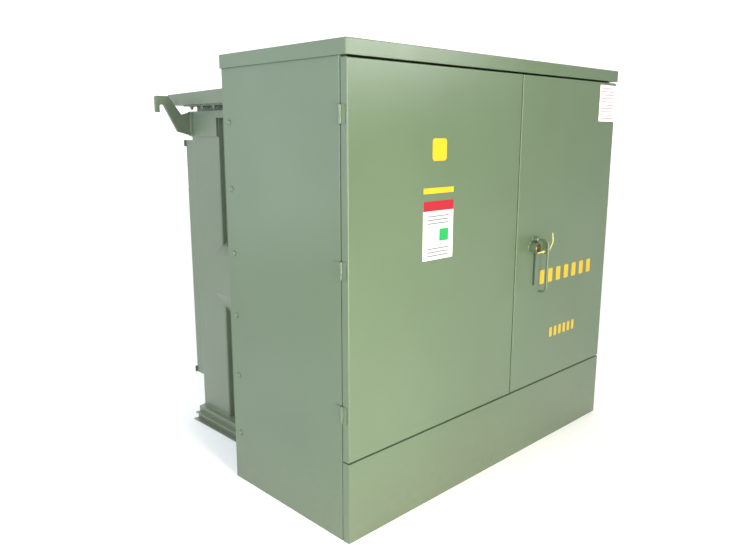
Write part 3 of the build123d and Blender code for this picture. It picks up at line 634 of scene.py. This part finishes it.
class TRANSFORMER_OT_stage(bpy.types.Operator):
    """Make the floor, the surroundings, the lights and the camera"""
    bl_idname = "transformer.stage"
    bl_label = "Floor, lights and camera"

    def execute(self, context):
        settings = context.scene.transformer_stage
        context.scene.view_settings.view_transform = "Standard"
        self.make_surroundings(context, settings)
        self.make_floor(context, settings.floor)
        for name, spot, target, size in LIGHTS:
            self.make_light(context, name + "_light", spot, target, size, getattr(settings, name))
        self.make_camera(context, settings)
        return {"FINISHED"}

    def make_surroundings(self, context, settings):
        """Surroundings that light the object from all round, with a tint of their own for each side."""
        world = bpy.data.worlds.new("soft_surroundings")
        world.use_nodes = True
        tree = world.node_tree
        way = add_node(tree, "ShaderNodeTexCoord")
        split = add_node(tree, "ShaderNodeSeparateXYZ", {"Vector": way.outputs["Generated"]})
        shares = [add_node(tree, "ShaderNodeMapRange",
                           {"Value": split.outputs[axis], "From Min": 0.0, "From Max": -0.5})
                  for axis in ("X", "Y")]
        halves = [add_node(tree, "ShaderNodeMix", {0: shares[0], 6: (*right, 1), 7: (*left, 1)},
                           data_type="RGBA", clamp_result=False).outputs[2]
                  for right, left in ((settings.behind, settings.left), (settings.front, settings.corner))]
        whole = add_node(tree, "ShaderNodeMix", {0: shares[1], 6: halves[0], 7: halves[1]},
                         data_type="RGBA", clamp_result=False)
        set_inputs(tree, tree.nodes["Background"], {"Color": whole.outputs[2]})
        context.scene.world = world

    def make_floor(self, context, half):
        """A plain pale floor at the ground."""
        shape = bmesh.new()
        corners = ((-half, -half), (half, -half), (half, half), (-half, half))
        shape.faces.new([shape.verts.new((x, y, 0)) for x, y in corners])
        mesh = to_mesh("floor", shape)
        mesh.materials.append(finish("floor"))
        floor = bpy.data.objects.new("floor", mesh)
        context.scene.collection.objects.link(floor)

    def make_light(self, context, name, spot, target, size, radiance):
        """A soft rectangular light that looks at a point. Its power gives it the wanted radiance."""
        strongest = max(radiance)
        if not strongest:
            return
        light = bpy.data.lights.new(name, "AREA")
        light.shape = "RECTANGLE"
        light.size, light.size_y = size
        light.energy = strongest * math.pi * size[0] * size[1]
        light.color = [part / strongest for part in radiance]
        lamp = bpy.data.objects.new(name, light)
        lamp.location = spot
        lamp.rotation_euler = (Vector(target) - Vector(spot)).to_track_quat("-Z", "Y").to_euler()
        lamp.visible_camera = False
        context.scene.collection.objects.link(lamp)

    def make_camera(self, context, settings):
        """The camera at the photograph's place and angle."""
        data = bpy.data.cameras.new("camera")
        data.sensor_width = 36.0
        data.lens = settings.lens
        camera = bpy.data.objects.new("camera", data)
        camera.location = settings.camera_place
        camera.rotation_euler = Vector(settings.camera_along).to_track_quat("-Z", "Y").to_euler()
        context.scene.collection.objects.link(camera)
        context.scene.camera = camera


class TRANSFORMER_OT_paint(bpy.types.Operator):
    """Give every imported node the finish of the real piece"""
    bl_idname = "transformer.paint"
    bl_label = "Finishes of the frame"

    def execute(self, context):
        for name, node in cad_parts.items():
            coat = "tank_paint" if name in TANK_NODES else "powder_coat"
            node.data.materials.clear()
            node.data.materials.append(finish(OTHER_NODES.get(name, coat)))
        return {"FINISHED"}


class TRANSFORMER_OT_wall_bolts(bpy.types.Operator):
    """Make the dome heads that hold each cabinet wall to the tank's front plate"""
    bl_idname = "transformer.wall_bolts"
    bl_label = "Wall bolts"

    def execute(self, context):
        settings = context.scene.transformer_fittings
        dome = dome_head(settings)
        for side, turn in (("left", FACE_LEFT), ("right", FACE_RIGHT)):
            low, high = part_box(side + "_side_panel")
            x = low.x if side == "left" else high.x
            start = (x, high.y - settings.dome_from_back, settings.dome_first)
            row(side + "_wall_bolts", dome, settings.dome_count, start, (0, 0, settings.dome_pitch), turn,
                "root", "powder_coat", "green_steel")
        return {"FINISHED"}


class TRANSFORMER_OT_cover_bolts(bpy.types.Operator):
    """Make the bolts that hold the cover, which show under the neck's flange"""
    bl_idname = "transformer.cover_bolts"
    bl_label = "Cover bolts"

    def execute(self, context):
        settings = context.scene.transformer_fittings
        nut = nut_on_stud(settings)
        low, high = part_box("tank_top_flange")
        under = high.z - settings.neck_flange
        span = (settings.cover_count - 1) * settings.cover_pitch
        first = (low.y + high.y - span) / 2
        inset = settings.cover_bolt_inset
        for side, x in (("left", low.x + inset), ("right", high.x - inset)):
            row(side + "_cover_bolts", nut, settings.cover_count, (x, first, under),
                (0, settings.cover_pitch, 0), FACE_DOWN, "root", "tank_paint", "green_steel")
        return {"FINISHED"}


class TRANSFORMER_OT_bushing_nuts(bpy.types.Operator):
    """Make the nuts that clamp the flanges of the high and low voltage bushings"""
    bl_idname = "transformer.bushing_nuts"
    bl_label = "Bushing nuts"

    def execute(self, context):
        settings = context.scene.transformer_fittings
        nut = nut_on_stud(settings)
        for node, count, thick in (("hv_bushings", 3, settings.hv_flange),
                                   ("lv_bushings", 4, settings.lv_flange)):
            low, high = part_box(node)
            flange = (high.z - low.z) / 2
            nuts_radius = flange - settings.circle_inset
            pitch = (high.x - low.x - 2 * flange) / (count - 1)
            rings = []
            for i in range(count):
                centre = (low.x + flange + i * pitch, high.y - thick, (low.z + high.z) / 2)
                rings.append(ring(f"{node}_nuts_{i}", nut, 4, nuts_radius, math.radians(45),
                                  math.radians(90), centre, "root", "zinc", "plated_steel"))
            join(node + "_nuts", rings)
        return {"FINISHED"}


class TRANSFORMER_OT_gauge_faces(bpy.types.Operator):
    """Make the dials of the two gauges, with their ticks and pointers"""
    bl_idname = "transformer.gauge_faces"
    bl_label = "Gauge dials"

    def execute(self, context):
        settings = context.scene.transformer_fittings
        low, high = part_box("oil_gauges")
        z = (low.z + high.z) / 2
        radius = (high.z - low.z) / 2
        dial_radius = radius - settings.dial_rim
        tick_length = dial_radius * 0.12
        ticks_radius = dial_radius * 0.84
        first_tick, ticks_span = math.radians(-30), math.radians(240)
        thick = settings.dial_thickness
        face = low.y + settings.dial_depth
        tick = self.make_tick(tick_length, thick / 2)
        for name, x, reading, count in (("level", low.x + radius, 62, 7),
                                        ("temperature", high.x - radius, 140, 13)):
            disc = bmesh.new()
            slab(disc, circle(x, z, dial_radius, 48), face, thick)
            place(name + "_dial", disc, "root", "dial")
            ring(name + "_ticks", tick, count, ticks_radius, first_tick, ticks_span / (count - 1),
                 (x, face - thick, z), "root", "ink")
            self.make_pointer(name, x, z, face - thick, dial_radius, thick, reading)
        return {"FINISHED"}

    def make_tick(self, long, thick):
        """The mesh of one tick, which lies along X and faces up."""
        shape = bmesh.new()
        slab(shape, round_corners(-long / 2, long / 2, -long / 8, long / 8, long / 20, 1), 0, thick)
        mesh = to_mesh("tick", shape)
        mesh.transform(Matrix.Rotation(math.radians(-90), 4, "X"))
        return mesh

    def make_pointer(self, name, x, z, face, radius, thick, reading):
        """A tapered pointer with a round hub. Its corners are shares of the dial's radius."""
        hub_radius = 0.006
        hub_height = 0.0016
        shape = bmesh.new()
        angle = math.radians(reading)
        along = (math.cos(angle), math.sin(angle))
        outline = []
        for reach, half in ((-0.25, 0.05), (-0.25, -0.05), (0.72, -0.012), (0.72, 0.012)):
            outline.append((x + radius * (reach * along[0] - half * along[1]),
                            z + radius * (reach * along[1] + half * along[0])))
        slab(shape, outline, face - thick, thick)
        slab(shape, circle(x, z, hub_radius, 20), face, hub_height)
        place(name + "_pointer", shape, "root", "ink")


class TRANSFORMER_OT_welds(bpy.types.Operator):
    """Lay the weld beads at the hooks, the side boxes, the tank's seams and the door's boss and cup"""
    bl_idname = "transformer.welds"
    bl_label = "Welds"

    def execute(self, context):
        settings = context.scene.transformer_fittings
        self.bead(settings, "tank_welds", self.tank_lines(), "root", "tank_paint")
        self.bead(settings, "hook_welds", self.hook_lines(settings.hook_plate), "root", "tank_paint")
        self.bead(settings, "boss_welds", self.boss_lines(), "right_door", "powder_coat")
        return {"FINISHED"}

    def bead(self, settings, name, lines, body, coat):
        """One piece of weld along a list of lines."""
        mesh = bpy.data.meshes.new(name + "_lines")
        points = [point for line in lines for point in line]
        edges = []
        first = 0
        for line in lines:
            edges += [(first + i, first + i + 1) for i in range(len(line) - 1)]
            first += len(line)
        mesh.from_pydata(points, edges, [])
        inputs = {"Radius": settings.weld_radius, "Ripple": settings.weld_ripple}
        grow(name, tree_named("weld_bead", weld_tree), inputs, body, coat, mesh)

    def tank_lines(self):
        """The seams where the tank's wall meets its floor, its ring and the side boxes."""
        low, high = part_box("tank_wall")
        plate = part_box("tank_front_plate")[1].y
        box_low, box_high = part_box("left_side_box")
        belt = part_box("belt_plates")[0]
        lines = []
        for side in (-1, 1):
            front_x = side * abs(box_high.x)
            rear_x = side * high.x
            for z in (low.z, high.z):
                lines.append([(front_x, plate, z), (front_x, belt.y, z)])
                lines.append([(rear_x, belt.y, z), (rear_x, high.y, z)])
            for z in (box_low.z, box_high.z):
                lines.append([(front_x, box_low.y, z), (front_x, belt.y, z)])
            lines.append([(rear_x, belt.y, belt.z), (rear_x, high.y, belt.z)])
        lines.append([(low.x, high.y, low.z), (high.x, high.y, low.z)])
        return lines

    def hook_lines(self, thick):
        """The seams on both faces of each lifting hook, where its root stands on its pad."""
        low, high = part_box("right_lifting_hooks")
        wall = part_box("tank_wall")[1]
        rear_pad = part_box("hook_pads")[1].x
        front_pad = rear_pad - wall.x + abs(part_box("left_side_box")[1].x)
        lines = []
        for side in (-1, 1):
            for y, pad in ((low.y, front_pad), (low.y + thick, front_pad), (high.y - thick, rear_pad),
                           (high.y, rear_pad)):
                lines.append([(side * pad, y, low.z + thick), (side * pad, y, wall.z)])
        return lines

    def boss_lines(self):
        """The seams round the handle's boss and the bolt's cup, on the door."""
        lines = []
        for node in ("handle_boss", "bolt_shroud"):
            low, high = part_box(node)
            centre = (low + high) / 2
            seam = circle(centre.x, centre.z, (high.z - low.z) / 2, 32)
            lines.append([(x, high.y, z) for x, z in seam + seam[:1]])
        return lines


class TRANSFORMER_OT_door_seals(bpy.types.Operator):
    """Make the rubber seal round the back of each door"""
    bl_idname = "transformer.door_seals"
    bl_label = "Door seals"

    def execute(self, context):
        settings = context.scene.transformer_fittings
        for door in ("left_door", "right_door"):
            low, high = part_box(door)
            edge = settings.seal_inset
            shape = bmesh.new()
            self.loop(shape, (low.x + edge, high.x - edge, low.z + edge, high.z - edge), settings.seal_width,
                      high.y, settings.seal_height)
            place(door + "_seal", shape, door, "rubber")
        return {"FINISHED"}

    def loop(self, shape, sides, wide, y, high):
        """A closed strip round four sides: flat where it is stuck, and with a crown between its slopes."""
        x0, x1, z0, z1 = sides
        rings = []
        for inset, out in ((0, 0), (wide * 0.2, high * 0.7), (wide * 0.5, high), (wide * 0.8, high * 0.7),
                           (wide, 0)):
            corners = ((x0 + inset, z0 + inset), (x1 - inset, z0 + inset), (x1 - inset, z1 - inset),
                       (x0 + inset, z1 - inset))
            rings.append([shape.verts.new((x, y + out, z)) for x, z in corners])
        for near, far in zip(rings, rings[1:] + rings[:1]):
            skin(shape, near, far)


class TRANSFORMER_OT_left_door_marks(bpy.types.Operator):
    """Make the plain plate, strip and patch on the left door"""
    bl_idname = "transformer.left_door_marks"
    bl_label = "Left door marks"

    def execute(self, context):
        marks = context.scene.transformer_marks
        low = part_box("left_door")[0]
        film = marks.vinyl
        x0 = low.x + marks.plate_left
        x1 = x0 + marks.plate_width
        half = marks.patch_size / 2
        middle = (x0 + x1) / 2
        print_face = low.y - film
        square_right = x1 - marks.square_right
        square_low = marks.plate_low + marks.square_low
        for name, sides, corner, face, thick, tone in (
            ("door_patch", (middle - half, middle + half, marks.patch_low,
                            marks.patch_low + marks.patch_size), marks.patch_corner, low.y, film, "yellow"),
            ("door_strip", (x0, x1, marks.strip_low, marks.strip_low + marks.strip_height),
             marks.print_corner, low.y, film, "yellow"),
            ("door_plate", (x0, x1, marks.plate_low, marks.plate_high),
             marks.plate_corner, low.y, film, "white"),
            ("door_plate_band", (x0, x1, marks.plate_high - marks.band, marks.plate_high),
             marks.plate_corner, print_face, film / 2, "red"),
            ("door_plate_square", (square_right - marks.square_width, square_right, square_low,
                                   square_low + marks.square_height),
             marks.block_corner, print_face, film / 2, "green"),
        ):
            make_plate(name, round_corners(*sides, corner), face, thick, "left_door", tone)
        # Three plain bars near the plate's top and three near its bottom.
        bar = round_corners(0, marks.bar_width, 0, marks.bar_height, marks.print_corner, 1)
        groups = [plate_row("plate_bars", bar, film / 2, 3, (x0 + marks.bar_left, print_face, z),
                            (0, 0, -marks.bar_pitch), "left_door", "grey")
                  for z in (marks.plate_high - marks.bars_top, marks.plate_low + marks.bars_low)]
        join("door_plate_bars", groups)
        return {"FINISHED"}


class TRANSFORMER_OT_right_door_marks(bpy.types.Operator):
    """Make the rows of plain yellow blocks and the paper on the right door"""
    bl_idname = "transformer.right_door_marks"
    bl_label = "Right door marks"

    def execute(self, context):
        marks = context.scene.transformer_marks
        low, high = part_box("right_door")
        for name, left, z, wide, tall, pitch, count in BLOCK_ROWS:
            block = round_corners(0, wide, 0, tall, marks.block_corner, 2)
            plate_row(name, block, marks.vinyl, count, (low.x + left, low.y, z), (pitch, 0, 0), "right_door",
                      "yellow")
        x1 = high.x - marks.sheet_right
        x0 = x1 - marks.sheet_width
        make_plate("door_sheet", round_corners(x0, x1, marks.sheet_low, marks.sheet_high, marks.print_corner),
                   low.y, marks.vinyl, "right_door", "paper")
        bar_width = marks.sheet_width - 2 * marks.sheet_margin
        bar = round_corners(0, bar_width, 0, marks.sheet_bar, marks.print_corner, 1)
        start = (x0 + marks.sheet_margin, low.y - marks.vinyl, marks.sheet_low + marks.sheet_margin)
        plate_row("door_sheet_bars", bar, marks.vinyl / 2, marks.sheet_count, start,
                  (0, 0, marks.sheet_pitch), "right_door", "pink")
        return {"FINISHED"}


class TRANSFORMER_OT_boss_dome(bpy.types.Operator):
    """Make the domed front of the handle's boss"""
    bl_idname = "transformer.boss_dome"
    bl_label = "Boss dome"

    def execute(self, context):
        reach = context.scene.transformer_fittings.boss_reach
        clearance = 0.0002
        low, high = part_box("handle_boss")
        rod_low, rod_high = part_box("door_handle")
        bore = (rod_high.x - rod_low.x) / 2 + clearance
        # The dome is a little slimmer than the boss and starts inside it, so no faces lie on each other.
        slimmer, starts, rounded = 0.97, 0.7, 0.6
        wide = (high.x - low.x) / 2 * slimmer
        near = (high.y - low.y) * starts
        rounding = wide * rounded
        crown = [(wide - rounding * (1 - math.cos(a)), reach - rounding * (1 - math.sin(a)))
                 for a in (math.radians(15 * i) for i in range(6))]
        shape = bmesh.new()
        lathe(shape, 32, (bore, near), (wide, near), *crown, (bore, reach), (bore, near))
        bmesh.ops.remove_doubles(shape, verts=shape.verts, dist=1e-7)
        mesh = to_mesh("boss_dome", shape)
        centre = Vector(((low.x + high.x) / 2, high.y, (low.z + high.z) / 2))
        mesh.transform(Matrix.Translation(centre) @ Matrix.Rotation(math.radians(90), 4, "X"))
        place("boss_dome", mesh, "right_door", "powder_coat")
        return {"FINISHED"}


class TRANSFORMER_OT_bolt_end(bpy.types.Operator):
    """Make the chamfered end of the five-sided door bolt, which shows in the mouth of its cup"""
    bl_idname = "transformer.bolt_end"
    bl_label = "Bolt end"

    def execute(self, context):
        settings = context.scene.transformer_fittings
        reach, radius, chamfer = settings.bolt_reach, settings.bolt_radius, settings.bolt_chamfer
        overlap = 0.0005
        cup_low, cup_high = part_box("bolt_shroud")
        bolt_low, bolt_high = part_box("door_bolt")
        centre = (cup_low + cup_high) / 2
        door = bolt_high.y
        shape = bmesh.new()
        rings = []
        for wide, out in ((radius, door - bolt_low.y - overlap), (radius, reach - chamfer),
                          (radius - chamfer, reach)):
            corners = circle(centre.x, centre.z, wide, 5)
            rings.append([shape.verts.new((x, door - out, z)) for x, z in corners])
        for near, far in zip(rings, rings[1:]):
            skin(shape, near, far)
        shape.faces.new(rings[0])
        shape.faces.new(rings[-1])
        place("bolt_end", shape, "right_door", "bronze")
        return {"FINISHED"}


class TRANSFORMER_OT_tie_head(bpy.types.Operator):
    """Make the locking head of the cable tie on the handle"""
    bl_idname = "transformer.tie_head"
    bl_label = "Tie head"

    def execute(self, context):
        half_width, half_height, corner = 0.004, 0.0045, 0.0015
        depth, behind_tie = 0.0055, 0.002
        from_tab, above_tie = 0.010, 0.0026
        tie_low, tie_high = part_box("handle_tie")
        tab_low, tab_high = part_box("padlock_tab")
        x = (tab_low.x + tab_high.x) / 2 - from_tab
        z = tie_low.z + above_tie
        shape = bmesh.new()
        outline = round_corners(x - half_width, x + half_width, z - half_height, z + half_height, corner, 3)
        slab(shape, outline, tie_high.y + behind_tie, depth)
        place("tie_head", shape, "handle", "nylon")
        return {"FINISHED"}


# The panel and the run

PIECES = (TRANSFORMER_OT_stage, TRANSFORMER_OT_paint, TRANSFORMER_OT_wall_bolts, TRANSFORMER_OT_cover_bolts,
          TRANSFORMER_OT_bushing_nuts, TRANSFORMER_OT_gauge_faces, TRANSFORMER_OT_welds,
          TRANSFORMER_OT_door_seals, TRANSFORMER_OT_boss_dome, TRANSFORMER_OT_bolt_end,
          TRANSFORMER_OT_left_door_marks, TRANSFORMER_OT_right_door_marks, TRANSFORMER_OT_tie_head)
SETTINGS = {"transformer_finishes": FinishSettings, "transformer_fittings": FittingSettings,
            "transformer_marks": MarkSettings, "transformer_stage": StageSettings}


class TRANSFORMER_PT_pieces(bpy.types.Panel):
    """Lists the pieces and their settings"""
    bl_label = "Power transformer"
    bl_idname = "TRANSFORMER_PT_pieces"
    bl_space_type = "VIEW_3D"
    bl_region_type = "UI"
    bl_category = "Transformer"

    def draw(self, context):
        for operator in PIECES:
            self.layout.operator(operator.bl_idname)
        for name, group in SETTINGS.items():
            box = self.layout.box()
            for setting in group.__annotations__:
                box.prop(getattr(context.scene, name), setting)


def register():
    """Registers the settings, the operators and the panel."""
    for group in SETTINGS.values():
        bpy.utils.register_class(group)
    for name, group in SETTINGS.items():
        setattr(bpy.types.Scene, name, PointerProperty(type=group))
    for operator in PIECES:
        bpy.utils.register_class(operator)
    bpy.utils.register_class(TRANSFORMER_PT_pieces)


def unregister():
    """Takes them away again."""
    bpy.utils.unregister_class(TRANSFORMER_PT_pieces)
    for operator in reversed(PIECES):
        bpy.utils.unregister_class(operator)
    for name in SETTINGS:
        delattr(bpy.types.Scene, name)
    for group in reversed(SETTINGS.values()):
        bpy.utils.unregister_class(group)


def main():
    """Makes every piece in order."""
    register()
    bpy.ops.transformer.stage()
    bpy.ops.transformer.paint()
    bpy.ops.transformer.wall_bolts()
    bpy.ops.transformer.cover_bolts()
    bpy.ops.transformer.bushing_nuts()
    bpy.ops.transformer.gauge_faces()
    bpy.ops.transformer.welds()
    bpy.ops.transformer.door_seals()
    bpy.ops.transformer.boss_dome()
    bpy.ops.transformer.bolt_end()
    bpy.ops.transformer.left_door_marks()
    bpy.ops.transformer.right_door_marks()
    bpy.ops.transformer.tie_head()


if __name__ == "__main__":
    main()
